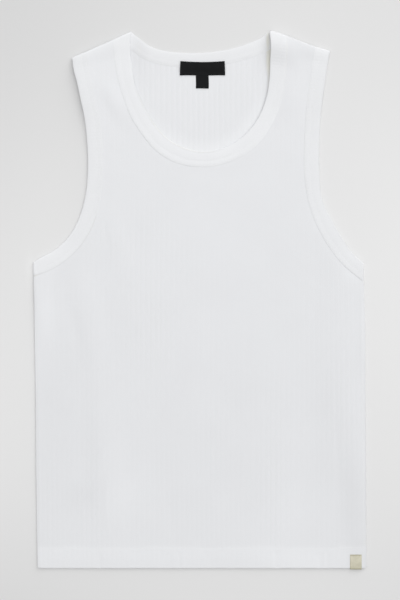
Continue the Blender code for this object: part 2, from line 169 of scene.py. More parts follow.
def edit(*steps):
    """Runs mesh operators on the whole active piece. A step is an operator with its options."""
    bpy.ops.object.mode_set(mode="EDIT")
    for operator, options in steps:
        bpy.ops.mesh.select_all(action="SELECT")
        operator(**options)
    bpy.ops.object.mode_set(mode="OBJECT")


NORMALS_OUT = (bpy.ops.mesh.normals_make_consistent, {"inside": False})


def points_of(made):
    points = np.empty(len(made.data.vertices) * 3, np.float32)
    made.data.vertices.foreach_get("co", points)
    return points.reshape(-1, 3)


# %% Table
TABLE_SIZE = 6.0
PAPER_DARK, PAPER_LIGHT = 0.55, 0.95
# Painted light and shade: soft pools that make the table's colour lighter or darker in places.
Pool = namedtuple("Pool", "x y radius_x radius_y amount")
POOLS = rows_of(
    Pool,
    (0.4, 0.02, 0.28, 0.34, 0.072), (-0.3, -0.15, 0.2, 0.22, 0.04),
    (-0.32, 0.46, 0.22, 0.3, -0.085), (-0.3, -0.46, 0.18, 0.14, -0.06),
    (0.05, 0.5, 0.35, 0.17, -0.038), (0.32, 0.36, 0.16, 0.2, -0.03),
    (-0.21, 0.08, 0.07, 0.16, 0.022), (0.28, -0.42, 0.1, 0.1, -0.02),
    (-0.23, 0.038, 0.006, 0.022, 0.03),
)


def soft_spot(tree, place, pool):
    """1 in the middle of an oval, falling softly to 0 outside it."""
    do = partial(value, tree)
    x, y, _ = parts(tree, place)
    x = do("DIVIDE", do("SUBTRACT", x, pool.x), pool.radius_x)
    y = do("DIVIDE", do("SUBTRACT", y, pool.y), pool.radius_y)
    far = do("MULTIPLY_ADD", x, x, do("MULTIPLY", y, y))
    return do("POWER", math.e, do("MULTIPLY", far, -1.0))


table = new_mesh(bpy.ops.mesh.primitive_plane_add, size=TABLE_SIZE)
table.name = "table"
paper, tree, shader = finish("pale_paper", 0.9)
place = tree.nodes.new("ShaderNodeTexCoord").outputs["Object"]
tone = value(tree, "MULTIPLY_ADD", noise(tree, place, 60.0, 4.0), 0.012, 0.538)
for pool in POOLS:
    amount = pool.amount / (PAPER_LIGHT - PAPER_DARK)
    tone = value(tree, "MULTIPLY_ADD", soft_spot(tree, place, pool), amount, tone)
tint(tree, shader, tone, (PAPER_DARK,) * 3, (PAPER_LIGHT,) * 3)
table.data.materials.append(paper)
print("the table has", len(POOLS), "soft pools of light and shade")

# %% Light
WALLS, CEILING = 0.35, 1.172
BRIGHT_SIDE = (0.12, 0.05)
Lamp = namedtuple("Lamp", "name at size power")
LAMPS = rows_of(Lamp, ("key", (2.97, 4.75, 2.15), 3.4, 126), ("far_end", (0.1, 1.6, 1.3), 0.9, 3))
world = bpy.data.worlds.new("studio")
bpy.context.scene.world = world
world.use_nodes = True
tree = world.node_tree
do = partial(value, tree)
sky = tree.nodes["Background"]
sky.inputs["Color"].default_value = (1, 1, 1, 1)
x, y, z = parts(tree, tree.nodes.new("ShaderNodeTexCoord").outputs["Generated"])
room = do("MULTIPLY_ADD", do("POWER", do("MAXIMUM", z, 0.0), 3.0), CEILING, WALLS)
side = do("MULTIPLY_ADD", x, BRIGHT_SIDE[0], 1.0)
side = do("MULTIPLY_ADD", y, BRIGHT_SIDE[1], side)
tree.links.new(do("MULTIPLY", room, side), sky.inputs["Strength"])
for lamp in LAMPS:
    data = bpy.data.lights.new(lamp.name, "AREA")
    data.size, data.energy = lamp.size, lamp.power
    made = bpy.data.objects.new(lamp.name, data)
    made.location = lamp.at
    made.rotation_euler = (-made.location).to_track_quat("-Z", "Y").to_euler()
    bpy.context.scene.collection.objects.link(made)
    print(lamp.name, "lamp,", lamp.size, "m square, points at the middle of the cloth")
bpy.context.scene.view_settings.view_transform = "Standard"

# %% [markdown]
# ## Sizes
# Every piece of cloth is described in millimetres, by the same short tables that the plain solids
# use: where the sides and the shoulders run, and where each band has its free edge and its seam.

# %% Sizes of the cloth
PANEL_WALL = 0.85
FRONT_RIBS, FRONT_RIB = 66, 0.042
BACK_RIBS, BACK_RIB = 61, 0.15
BAND_WALL = 1.45
BAND_RIB = 0.09
BAND_WIDTH = 20.5
BAND_SINK = 0.4
FRONT_REST = 1.45
ARM_REST = 1.95
SHOULDER_REST = 2.15
HALF_WIDTH = 222.6
CORNER_RADIUS = 4.0
HEM_Y = -362.2
HEM_DEPTH = 26.3
HEM_EXTRA = 0.24
HEM_STITCHES = (23.3, 27.1)

Side = namedtuple("Side", "y left right")
SIDES = rows_of(
    Side,
    (-362.2, -219.8, 224.6), (-230, -221.7, 223.9), (-128, -222.3, 223.2), (-40, -223.8, 222.9),
    (20, -225, 221.1), (50, -225.6, 220.4),
)
Corner = namedtuple("Corner", "x y")
SHOULDER = rows_of(
    Corner,
    (-230, 318), (-173.7, 326.9), (-92.9, 362.9), (95, 363.6), (110, 359.9), (148, 344.9),
    (175.6, 336.2), (230, 326),
)


def side_lines(y, sides=SIDES):
    """X of both sides of the body, or of a label."""
    return [np.interp(y, [s.y for s in sides], [s[k] for s in sides]) for k in (1, 2)]


def shoulder_line(x):
    """Y of the shoulders, and of the neck between them."""
    return np.interp(x, [c.x for c in SHOULDER], [c.y for c in SHOULDER])


# %% Bands, from one fold to the next
Station = namedtuple("Station", "edge_x edge_y seam_x seam_y lift", defaults=[0.0])
NECK_FRONT = rows_of(
    Station,
    (-92.9, 362.9, -117.9, 351.7, -0.3), (-94.8, 350.5, -117.5, 341, -0.5),
    (-94.5, 335, -116.4, 329.5, -0.4), (-92, 314.5, -113.8, 311, -0.2), (-89.5, 296, -110, 292.5),
    (-83.5, 277.5, -103.2, 271), (-73.5, 256.5, -94, 248), (-60.5, 235.5, -78.5, 223.5),
    (-43.5, 217.3, -58.5, 200.5), (-21, 205, -30.5, 184.8), (6.6, 200, 6.6, 179.8, 0.1),
    (37.5, 207.5, 43.5, 188, 0.5), (58.5, 221.5, 71.5, 205, 0.6), (76.5, 243, 93.5, 231.5, 0.7),
    (88.5, 270, 108, 263.5, 0.8), (93.4, 297, 114.5, 293.5, 1.05), (94.6, 325, 116.6, 322, 2.2),
    (95, 347, 117.5, 345, 3.2), (95, 363.6, 117.3, 357.1, 3.4),
)
NECK_BACK = rows_of(
    Station,
    (95, 363.6, 117.3, 357.1), (90.4, 361.4, 107, 350.2), (84, 355.2, 94.8, 339.3),
    (68.5, 348, 76, 330.5), (50.5, 341.8, 56.3, 323.9), (26.5, 336.6, 29.7, 317.9),
    (0, 333.9, 0.4, 314.7), (-29.5, 334.4, -31.5, 315.4), (-53.8, 337.9, -59.5, 319.8),
    (-70, 344.3, -79.5, 328), (-83.5, 354.4, -95, 339.5), (-92.9, 362.9, -117.9, 351.7),
)
ARM_LEFT = rows_of(
    Station,
    (-173.7, 326.9, -154, 335.6), (-170.9, 311.5, -150.2, 315, 0.4),
    (-166.6, 295.8, -147, 299.8, 0.7), (-161, 269.8, -141.4, 273.8, 0.7),
    (-155.6, 242.5, -135.5, 246, 0.5), (-152.5, 209.5, -132, 210.5, 0.3),
    (-151.6, 182, -131.1, 181.5, 0.2), (-153.8, 148.5, -133.8, 144, 0.1),
    (-159.7, 121.5, -139.7, 114.6), (-171.4, 94.5, -154.2, 82.8), (-182, 80.2, -167.6, 65.8),
    (-199.5, 65.2, -188.5, 48.2), (-216.4, 56.6, -206.1, 38.6), (-225.7, 51.3, -225.3, 31.8),
)
ARM_RIGHT = rows_of(
    Station,
    (175.6, 336.2, 155.8, 342.4), (172.5, 321.5, 152, 323.5), (168.9, 297.5, 148.7, 300),
    (165.3, 270, 144.8, 272), (162.3, 243, 142, 244.3), (160.8, 209.3, 140.5, 209.3),
    (161.1, 169, 140.9, 167.5), (165, 135, 146.9, 129.6), (177.4, 108, 157.9, 99.6),
    (193.2, 81, 176.1, 68.2), (201.9, 67.6, 187.7, 53.1), (211.8, 57, 201, 39.9),
    (220.5, 51.2, 221, 25.4),
)

# %% [markdown]
# ## How the cloth lies
# The front lies on the back, a little higher where it crosses the bands and at the shoulders. Laid
# cloth is never quite flat: broad soft folds stay in it, and a few narrow creases run over them.
# Each is one row of a table, with its own length, width, lean and height.

# %% Folds and creases
Fold = namedtuple("Fold", "x y half_width half_length lean height bow", defaults=[0.0])
FOLDS = rows_of(
    Fold,
    (-150, -28, 30, 110, 11, 1.17), (-127, -215, 36, 160, 3, 1.33), (211, -210, 30, 140, 0, 1.17),
    (112, -230, 42, 110, -2, 0.62), (-10, -130, 60, 150, 2, 0.47), (-110, 72, 26, 75, 12, 0.62),
    (-116, 270, 17, 42, 29, 1.01), (118, 300, 34, 75, 2, 1.4), (128, 70, 40, 90, -12, 0.55),
    (212, -362, 45, 70, 0, 0.31), (-222, -3, 26, 62, 0, 1.5), (-155, 292, 58, 96, -10, 3.6),
    (107, 345, 31, 46, 71, 4.3), (158, 334, 15, 44, 71, 1.09), (-112, 346, 22, 40, -66, 0.94),
    (-140, 334, 14, 48, -66, 1.09),
)
CREASES = rows_of(
    Fold,
    (-143, -175, 18, 170, 3, 0.3, 5), (-127, -268, 4, 58, 0, 0.27),
    (-172, -45, 13, 70, 12, -0.22, 5), (-151, -275, 12, 24, 10, -0.31),
    (218, -65, 3.5, 72, 0, 0.27), (186, -205, 5, 90, 1, -0.24), (-129, 86, 6, 32, 8, -0.27, 2),
    (-120, 288, 8, 22, 62, 0.24), (60, -60, 10, 60, -6, -0.14, 4), (-40, -290, 12, 50, 4, -0.17),
    (150, -20, 9, 48, -18, -0.2, 5),
)


def fade(value, none, full):
    """0 where the value is none, 1 where it is full, and level at both ends."""
    share = np.clip((value - none) / (full - none), 0.0, 1.0)
    return share * share * (3 - 2 * share)


def fold_height(folds, x, y):
    total = np.zeros_like(x)
    for fold in folds:
        lean = math.radians(fold.lean)
        dx, dy = x - fold.x, y - fold.y
        along = (dy * math.cos(lean) - dx * math.sin(lean)) / fold.half_length
        across = dx * math.cos(lean) + dy * math.sin(lean) - fold.bow * (1 - along**2)
        across = across / fold.half_width
        inside = (np.abs(across) < 1) & (np.abs(along) < 1)
        shape = (np.cos(math.pi / 2 * across) * np.cos(math.pi / 2 * along)) ** 2
        total += np.where(inside, fold.height * shape, 0.0)
    return total


# %% Smooth lines through the stations
def unit(vectors):
    return vectors / np.linalg.norm(vectors, axis=-1)[..., None]


def lengths(points):
    """How far along a line of points each one is."""
    return np.concatenate([[0.0], np.cumsum(np.linalg.norm(np.diff(points, axis=0), axis=1))])


def walk(stations, spacing):
    """Rows with the stations' columns, at even steps along the smooth curves through them."""
    rows = np.array(stations, float)
    places = lengths((rows[:, 0:2] + rows[:, 2:4]) / 2)
    runs = np.diff(places)[:, None]
    steps = np.diff(rows, axis=0) / runs
    inner = (steps[:-1] * runs[1:] + steps[1:] * runs[:-1]) / (runs[1:] + runs[:-1])
    slopes = np.vstack([steps[:1], inner, steps[-1:]])
    at = np.linspace(0, places[-1], 2 * max(1, round(places[-1] / spacing / 2)) + 1)
    k = np.clip(np.searchsorted(places, at, side="right") - 1, 0, len(places) - 2)
    run = runs[k]
    t = (at[:, None] - places[k][:, None]) / run
    start, end = 2 * t**3 - 3 * t**2 + 1, 3 * t**2 - 2 * t**3
    leave, arrive = (t**3 - 2 * t**2 + t) * run, (t**3 - t**2) * run
    return start * rows[k] + leave * slopes[k] + end * rows[k + 1] + arrive * slopes[k + 1]


def distance_to(x, y, path):
    """Distance from each point to a line of points."""
    best = np.full(x.shape, 1e9)
    for start, end in zip(path, path[1:]):
        run = end - start
        t = np.clip(((x - start[0]) * run[0] + (y - start[1]) * run[1]) / (run @ run), 0, 1)
        best = np.minimum(best, np.hypot(x - start[0] - t * run[0], y - start[1] - t * run[1]))
    return best


ARM_EDGES = [walk(arm, 12.0)[:, 0:2] for arm in (ARM_LEFT, ARM_RIGHT)]


def flat_rest(x, y):
    """Height of the front cloth's underside, folds left out."""
    nearest = np.minimum(*(distance_to(x, y, path) for path in ARM_EDGES))
    arm = (ARM_REST - FRONT_REST) * fade(nearest, BAND_WIDTH + 40, BAND_WIDTH)
    shoulder = (SHOULDER_REST - FRONT_REST) * fade(y, 215, 275)
    return FRONT_REST + np.maximum(arm, shoulder), nearest


def rest(x, y):
    """Height of the front cloth's underside where it lies, with its folds and creases."""
    x, y = np.asarray(x, float), np.asarray(y, float)
    low, to_arm = flat_rest(x, y)
    sway = np.sin(x / 31.0 + 1.3) * np.sin(y / 47.0 + 0.6) + 0.6 * np.sin(x / 17.0 - y / 39.0)
    fine = fold_height(CREASES, x, y) + 0.1 * sway
    free = fade(to_arm, BAND_WIDTH, BAND_WIDTH + 12) * fade(y, 300, 240)
    return low + fold_height(FOLDS, x, y) + fine * free


print("the front lies", float(rest([0.0], [0.0])[0]), "mm above the table at its middle")


# %% The table's numbers and the frame's
# The tables' origin lies a hair from the frame's, so all pieces share one small shift, which the
# size label gives: a plain rectangle that both know.
SIZE_LABEL_CORNER = (-5.8, 286.0)
SHIFT = [low / MM - known for low, known in zip(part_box("size_label")[0], SIZE_LABEL_CORNER)]
UP = np.array([0.0, 0.0, 1.0])
print("shift", [round(s, 3) for s in SHIFT], "mm")


def world_points(points):
    """The tables' millimetres as metres in the frame."""
    return (points + np.array([*SHIFT, 0.0])).reshape(-1, 3) * MM


def set_points(made, points):
    made.data.vertices.foreach_set("co", world_points(points).astype(np.float32).ravel())
    made.data.update()


# %% [markdown]
# ## The panels
# A rib knit is a row of soft ridges with narrow furrows between them. Each panel starts as a grid
# with five columns to a rib. Solidify gives the wall its second side. Then both sides are lifted
# to where the cloth lies: the ribs stand on the side that shows, and at the side and shoulder
# seams the cloth curls round to meet the other panel. Folding and wear have raised the ribs in
# some places and pressed them flat in others. The grid runs past the neck and the armholes, and
# the pattern then cuts them out, as a maker does.

# %% Columns and rows of a panel
RibPoint = namedtuple("RibPoint", "place height")
RIB_SHAPE = rows_of(RibPoint, (0.0, 0.0), (0.13, 0.6), (0.33, 1.0), (0.67, 1.0), (0.87, 0.6))
LIP_COLUMNS = (0.35, 0.8, 1.4, 2.2)
EDGE_ROWS = (0.0, 0.4, 0.9, 1.5, 2.2, 3.2, 5.0, 8.0, 12.0, 16.0)
STITCH_ROWS = (19.0, *range(21, 29), 30.0, 33.0)
SLOPED_ROWS = (*np.linspace(0, 0.94, 16)[1:], 0.96, 0.975, 0.986, 0.994, 1.0)
ROW_STEP = 5.4
SLOPED_FROM = 262.0
SEAM_GAP = 0.2
BACK_SHORTER = 1.2


def columns(ribs):
    """Each column's place across the panel, from -1 to 1, and its height on a rib."""
    ribbed = [(-1 + 2 * (i + p.place) / ribs, p.height) for i in range(ribs) for p in RIB_SHAPE]
    lips = [(side * (1 - d / HALF_WIDTH), 0.0) for d in LIP_COLUMNS for side in (-1, 1)]
    return np.array(sorted(ribbed + [(1.0, 0.0)] + lips)).T


def row_heights(x, front):
    """Y of each row at the columns' places: level, then sloping with the shoulders."""
    level = [HEM_Y + d + (0 if front else BACK_SHORTER) for d in EDGE_ROWS + STITCH_ROWS]
    count = round((SLOPED_FROM - level[-1]) / ROW_STEP)
    level += list(np.linspace(level[-1], SLOPED_FROM, count + 1)[1:])
    sloped = [SLOPED_FROM + (shoulder_line(x) - SLOPED_FROM) * share for share in SLOPED_ROWS]
    return np.array([np.full_like(x, y) for y in level] + sloped)


# %% How far the ribs stand out
Spot = namedtuple("Spot", "x y half_width half_height amount")
RIB_SPOTS = rows_of(
    Spot,
    (190, -140, 26, 75, 3.4), (-66, -25, 36, 110, 2.6), (-104, 78, 46, 26, 1.8),
    (-145, -290, 22, 60, 2.8), (98, -265, 20, 100, 3.2), (20, -190, 20, 60, 2.4),
    (-150, -130, 30, 80, 1.2), (0, 140, 190, 90, -0.8), (75, -30, 70, 90, -0.75),
)


def spotted(spots, x, y):
    """The sum of soft oval spots at each point."""
    return sum(
        s.amount * np.exp(-(((x - s.x) / s.half_width) ** 2) - ((y - s.y) / s.half_height) ** 2)
        for s in spots
    )


# %% Heights of both sides of a panel
THIN_EDGE = 0.4
ROLL = 1.0
TIGHT = 1.8
Groove = namedtuple("Groove", "at width depth")
HEM_FURROWS = [Groove(row, 1.1, 0.03) for row in HEM_STITCHES]
HEM_RIDGE = Groove(sum(HEM_STITCHES) / 2, 1.6, -0.02)
PUCKERS = rows_of(
    Groove,
    (-136, 3.6, 0.26), (-28, 3.2, 0.22), (-23, 2.4, -0.1), (103, 3, 0.26), (162, 3.8, 0.24),
    (167.5, 2.4, -0.12), (172, 2.8, 0.22),
)


def grooved(grooves, at):
    """The sum of soft grooves. A depth below 0 makes a ridge."""
    return sum(g.depth * np.exp(-(((at - g.at) / g.width) ** 2)) for g in grooves)


def curl(distance, height):
    """Height of a tight quarter round at this distance in from its end."""
    inside = np.clip(height - distance * TIGHT, 0, height)
    return np.sqrt((height**2 - inside**2).clip(THIN_EDGE**2))


def hem_wander(x):
    """The hem's top is turned up by eye, so it runs a little up and down."""
    return 0.8 * np.sin(x / 21.0 + 0.7) + 0.5 * np.sin(x / 8.3)


def hem_relief(x, y, front):
    """The turned-up hem is thicker. On the front its stitches draw furrows and puckers."""
    up = y - HEM_Y + hem_wander(x)
    thick = HEM_EXTRA * fade(up, HEM_DEPTH + 4.5, HEM_DEPTH - 2.5)
    if not front:
        return thick
    ripple = 0.07 * np.sin(x / 6.1) * np.sin(x / 23.0 + 0.4)
    below = fade(up, HEM_DEPTH - 2, HEM_DEPTH - 8)
    return thick - grooved(HEM_FURROWS + [HEM_RIDGE], up) - (grooved(PUCKERS, x) + ripple) * below


def panel_sides(x, y, slope, rib, front):
    """Heights of the upper and the lower side, rounded where the cloth curls at seams and hem."""
    left, right = side_lines(y)
    sides = np.where(y < 40.0, np.minimum(np.abs(x - left), np.abs(right - x)), 1e9)
    edge = np.minimum(sides, slope - y).clip(0)
    standing = 1 + spotted(RIB_SPOTS, x, y) if front else 1
    wall = PANEL_WALL + hem_relief(x, y, front) + rib * standing * fade(edge, 0, 7)
    hem = HEM_EXTRA * fade(y - HEM_Y, HEM_DEPTH + 2, HEM_DEPTH - 1)
    seam = (flat_rest(x, y)[0] + PANEL_WALL + hem) / 2
    if front:
        low = rest(x, y)
        high = low + wall
        reach = high - seam - SEAM_GAP / 2
        high = np.where(edge * TIGHT < reach, seam + SEAM_GAP / 2 + curl(edge, reach), high)
        low = np.where(edge <= ROLL, np.minimum(low, seam + SEAM_GAP / 2), low)
    else:
        reach = seam - SEAM_GAP / 2
        low = np.where(edge * TIGHT < reach, reach - curl(edge, reach), 0.0)
        high = np.where(edge <= ROLL, np.minimum(wall, reach), wall)
    thick = high - low
    inward = (y - HEM_Y - (0 if front else BACK_SHORTER)).clip(0) * TIGHT
    left_over = np.sqrt((thick**2 - (thick - inward).clip(0) ** 2).clip((2 * THIN_EDGE) ** 2))
    if front:
        return np.where(inward < thick, np.minimum(high, low + left_over), high), low
    return high, np.where(inward < thick, np.maximum(low, high - left_over), low)


# %% A panel before it is cut
def grid_piece(name, across, up):
    """A flat grid with this many points each way, and each point's column and row."""
    made = new_mesh(
        bpy.ops.mesh.primitive_grid_add, x_subdivisions=across - 1, y_subdivisions=up - 1, size=2
    )
    made.name = name
    shares = (points_of(made) + 1) / 2
    column = np.rint(shares[:, 0] * (across - 1)).astype(int)
    return made, column, np.rint(shares[:, 1] * (up - 1)).astype(int)


def panel(name, ribs, rib, front):
    u, rib_at = columns(ribs)
    flat_x = u * HALF_WIDTH
    y = row_heights(flat_x, front)
    left, right = side_lines(y)
    shift = np.where(u > 0, right - HALF_WIDTH, left + HALF_WIDTH)
    wander = 0.5 * np.sin(y / 83.0 + u * 4.0) + 0.25 * np.sin(y / 29.0 + u * 9.0)
    x = flat_x + shift * np.abs(u) ** 4 * (y < 60.0) + wander * (1 - u**2)
    corner = np.clip(CORNER_RADIUS - (y - HEM_Y), 0, CORNER_RADIUS)
    drawn_in = CORNER_RADIUS - np.sqrt(CORNER_RADIUS**2 - corner**2)
    x = x - np.sign(u) * np.abs(u) ** 40 * drawn_in
    sides = panel_sides(x, y, shoulder_line(x), rib * rib_at[None, :], front)
    made, column, row = grid_piece(name, len(u), len(y))
    modify(made, "SOLIDIFY", thickness=MM, offset=-1)
    set_points(made, np.concatenate([np.stack([x, y, z], axis=-1)[row, column] for z in sides]))
    return made


# %% The pattern that cuts a panel
CUT_GAP = 0.12
CUT_ROOM = 25.0
CUT_STEP = 2.5
PATTERN_BOTTOM, PATTERN_TALL = -20.0, 60.0


def front_heights(row):
    """Height of a front band's middle at its free edge and at its seam."""
    middles = rest(row[[0, 2]], row[[1, 3]]) + BAND_WALL / 2 - BAND_SINK
    return middles + (row[4], 0.0)


def outward(fold, inner):
    """Away from the cloth, square to the fold of a band."""
    run = fold[2:4] - fold[0:2]
    away = unit(np.array([-run[1], run[0]]))
    step = (fold[0:2] + fold[2:4]) - (inner[0:2] + inner[2:4])
    return away if away @ step > 0 else -away


def inset(stations, front):
    """The stations with both folds drawn in, so that the rolled cloth ends at the outline."""
    rows = np.array(stations, float)
    moved = rows.copy()
    for place, inner in ((0, 1), (-1, -2)):
        fold = min((front[0], front[-1]), key=lambda end: math.dist(end[:2], rows[place, :2]))
        depths = (front_heights(np.array(fold)) + BAND_WALL / 2) / 2
        moved[place, :4] -= np.outer(depths, outward(rows[place], rows[inner])).ravel()
    return moved


def seam_cut(stations, front):
    """The line that a panel is cut to beside a band, run straight on past the fold at each end."""
    drawn = inset(stations, front)
    rows = walk(drawn, CUT_STEP)
    seams = rows[:, 2:4]
    run = np.gradient(seams, axis=0)
    normal = unit(np.stack([-run[:, 1], run[:, 0]], axis=1))
    normal *= np.sign(((seams - rows[:, 0:2]) * normal).sum(1))[:, None]
    line = seams + normal * CUT_GAP
    first, last = outward(drawn[0], drawn[1]), outward(drawn[-1], drawn[-2])
    return np.vstack([line[0] + first * CUT_ROOM, line, line[-1] + last * CUT_ROOM])


def cut_to_pattern(made, neck):
    """Keeps what lies inside the outline that the neck and the armholes leave."""
    neckline = seam_cut(neck, NECK_FRONT)
    neckline = neckline[::-1] if neckline[0, 0] < neckline[-1, 0] else neckline
    below, wide = HEM_Y - CUT_ROOM, HALF_WIDTH + CUT_ROOM
    right, left = seam_cut(ARM_RIGHT, ARM_RIGHT)[::-1], seam_cut(ARM_LEFT, ARM_LEFT)
    outline = np.vstack([[(-wide, below), (wide, below)], right, neckline, left])
    pattern = new_mesh(bpy.ops.mesh.primitive_circle_add, vertices=len(outline), fill_type="NGON")
    set_points(pattern, np.insert(outline, 2, PATTERN_BOTTOM, axis=1))
    tall = {"TRANSFORM_OT_translate": {"value": (0, 0, PATTERN_TALL * MM)}}
    edit((bpy.ops.mesh.extrude_region_move, tall), NORMALS_OUT)
    modify(made, "BOOLEAN", operation="INTERSECT", solver="MANIFOLD", object=pattern)
    bpy.data.objects.remove(pattern)


# %% [markdown]
# ## Rib knit
# Cotton rib is matt and nearly white. Close up, its columns of small V-shaped stitches show, about
# a millimetre wide, and a faint fuzz catches the light at the edges of the cloth. The stitches are
# a bump, because they are too many to model, and the colour drifts a little from place to place.
# Light and shade are painted into the cloth's colour on its points, with the whiter doubled hem:
# by soft spots, and by thin lines along edges and seams. The deepest painted shade is a little
# warm, since its light comes off the cloth itself.

# %% Knit material
WALE = 0.96 * MM
COURSE = 0.85 * MM
TONE_RANGE = 0.12
DEEP_WARMTH = (1.07, 1.05, 0.94)
DRIFT = 0.033


def knit(name, colour, from_uv):
    """White knit. Its stitches stand in columns along Y, or across a band where it has a map."""
    made, tree, shader = finish(name, 0.92, sheen=0.12, sheen_roughness=0.6)
    do = partial(value, tree)
    source = tree.nodes.new("ShaderNodeTexCoord")
    across, along, _ = parts(tree, source.outputs["UV" if from_uv else "Object"])
    if from_uv:
        across, along = along, across
    column = do("FRACT", do("DIVIDE", across, WALE))
    middle = do("ABSOLUTE", do("SUBTRACT", column, 0.5))
    climb = do("MULTIPLY_ADD", middle, 1.3, do("DIVIDE", along, COURSE))
    loops = do("SINE", do("MULTIPLY", climb, 2 * math.pi))
    gully = do("SINE", do("MULTIPLY", column, math.pi))
    fuzz = noise(tree, source.outputs["Object"], 900.0, 3.0)
    stitches = do("MULTIPLY_ADD", loops, 0.35, gully)
    bump(tree, shader, do("MULTIPLY_ADD", fuzz, 0.5, stitches), 0.06 * MM, 0.6)
    drift = noise(tree, source.outputs["Object"], 14.0, 3.0)
    mottle = do("MULTIPLY_ADD", fuzz, 0.35, do("MULTIPLY", drift, 0.65))
    tone = do("MULTIPLY_ADD", mottle, DRIFT / TONE_RANGE, 0.5 - DRIFT / TONE_RANGE / 2)
    # The painted number adds painted light and shade, and the whiter doubled hem.
    tone = do("MULTIPLY_ADD", painted(tree, "doubled_hem_and_painted_light"), 0.5 / TONE_RANGE, tone)
    deep, shaded, white = ([c * (1 + s * TONE_RANGE) for c in colour] for s in (-1.0, -0.4, 1.0))
    # The deepest painted shade is tinted warm.
    deep = [c * warm for c, warm in zip(deep, DEEP_WARMTH)]
    tint(tree, shader, tone, deep, white, [(0.3, shaded)])
    return made


def paint(made, name, share_at):
    """Gives every point of the piece a number that its material reads."""
    x, y = (points_of(made)[:, k] / MM - SHIFT[k] for k in (0, 1))
    numbers = made.data.attributes.new(name, "FLOAT", "POINT")
    numbers.data.foreach_set("value", share_at(x, y).astype(np.float32))


rib_knit = knit("rib_knit", (0.8015, 0.81, 0.828), from_uv=False)
neck_knit = knit("neck_band_knit", (0.828, 0.836, 0.852), from_uv=True)
arm_knit = knit("arm_band_knit", (0.803, 0.811, 0.826), from_uv=True)
print("three white knits")

# %% Painted light and shade on the cloth
# The spot tables below are painted light where the amount is above 0 and painted shade below 0.
FRONT_PATCHES = rows_of(
    Spot,
    (137, -352, 38, 14, 0.025), (0, 90, 120, 60, 0.006), (60, -160, 60, 90, -0.008),
    (0, -260, 200, 60, -0.005), (132, 335, 30, 34, -0.03), (-208, -15, 16, 60, 0.03),
    (-192, -170, 30, 85, -0.022), (-165, -268, 22, 22, -0.02), (-213, 12, 14, 24, -0.015),
    (-101, -270, 40, 48, 0.026), (113, -286, 32, 48, 0.027), (173, -155, 26, 95, -0.03),
    (207, -280, 18, 66, -0.042), (207, 44, 17, 30, 0.045), (108, -16, 20, 28, -0.011),
    (-205, 51, 16, 16, 0.018), (214, -338, 14, 20, -0.03), (223, -353, 5, 13, -0.035),
    (20, 164, 50, 14, 0.009),
)
NECK_PATCHES = rows_of(
    Spot,
    (107, 332, 16, 40, -0.042), (-82, 342, 13, 22, -0.05), (91.5, 352, 3, 18, -0.1),
    (42, 200, 30, 26, 0.012), (0, 332, 52, 15, -0.018),
)
BACK_PATCHES = rows_of(Spot, (-84, 335, 14, 30, -0.045))
ARM_PATCHES = rows_of(
    Spot,
    (-196, 58, 38, 30, 0.042), (-225, 42, 3, 10, 0.05), (-222, 32.5, 3.5, 2.5, -0.04),
    (204, 62, 24, 24, 0.024), (222, 38, 2.5, 13, -0.06), (162, 328, 18, 14, 0.024),
)
NECKLINE = walk(NECK_FRONT, 6.0)[:, 0:2]
NECK_SEAM = walk(NECK_FRONT, 2.0)[:, 2:4]
ARM_SEAMS = [walk(arm, 2.0)[:, 2:4] for arm in (ARM_LEFT, ARM_RIGHT)]
# Shares of painted shade beside seams and under the raised neckband, of painted highlights on the
# shoulders and sides, and of the whiter doubled hem.
SEAM_LINE = (1.82, 0.52)
DEEP_SHADE_SHARE = 0.12
SHOULDER_HIGHLIGHT = 0.045
HEM_SHARE = 0.03
SIDE_SHARE = 0.03
ARM_SEAM_SHADE = 0.09


def shoulder_highlight(x, y):
    """Painted highlight along the rolled shoulder line, strongest on the side away from the lamp.
    """
    line = fade(shoulder_line(x) - y, 6, 0)
    return SHOULDER_HIGHLIGHT * line * (fade(x, 10, -30) + 0.5 * fade(x, 140, 160))


def front_share(x, y):
    """The doubled hem is whiter. Painted highlight on the left side and by the left band, shade on
    the right.
    """
    up = y - HEM_Y
    hem = fade(up + hem_wander(x), HEM_DEPTH + 6, HEM_DEPTH - 2) * (0.5 + 0.5 * fade(up, 4, 18))
    left, right = side_lines(y)
    sides = fade(x - left, 5, 0) * fade(y, -150, -90) - fade(right - x, 6, 0) * fade(y, -40, -120)
    under_arm = distance_to(x, y, ARM_EDGES[0]) - BAND_WIDTH
    share = HEM_SHARE * hem + SIDE_SHARE * sides + 0.01 * fade(under_arm, 14, 0) * fade(y, 95, 125)
    return share + shoulder_highlight(x, y) + spotted(FRONT_PATCHES, x, y)


def back_share(x, y):
    """Painted light on the cloth inside the binding, and painted shade under its raised right side.
    """
    away = distance_to(x, y, NECKLINE)
    top = 281.0 + 19.0 * np.tanh(x / 40.0)
    glow = 0.048 * fade(away, 24, 0) * fade(y, top, top - 58)
    up = fade(y, 285, 325)
    reach = 2.4 + 5.0 * up
    shade = (0.55 + 0.45 * up) * fade(away, 1.3 * reach, 0.3 * reach) * fade(x, 45, 70)
    return glow - DEEP_SHADE_SHARE * shade + spotted(BACK_PATCHES, x, y)


def neck_share(x, y):
    """Painted shade on the free edge away from the lamp and in a thin line by the seam; light low
    down.
    """
    strength = (0.08 + 0.03 * fade(y, 255, 240)) * fade(x, 45, 15) * fade(y, 310, 270)
    rim = strength * fade(distance_to(x, y, NECKLINE), 1.7, 0)
    scoop = 0.019 * fade(y, 275, 235)
    beside = 0.045 * fade(x, 5, 30) * fade(x, 80, 45) * fade(y, 255, 235)
    beside = beside + 0.035 * fade(x, 60, 80) * fade(y, 255, 285)
    seam = beside * fade(distance_to(x, y, NECK_SEAM), *SEAM_LINE)
    return scoop - rim - seam + shoulder_highlight(x, y) + spotted(NECK_PATCHES, x, y)


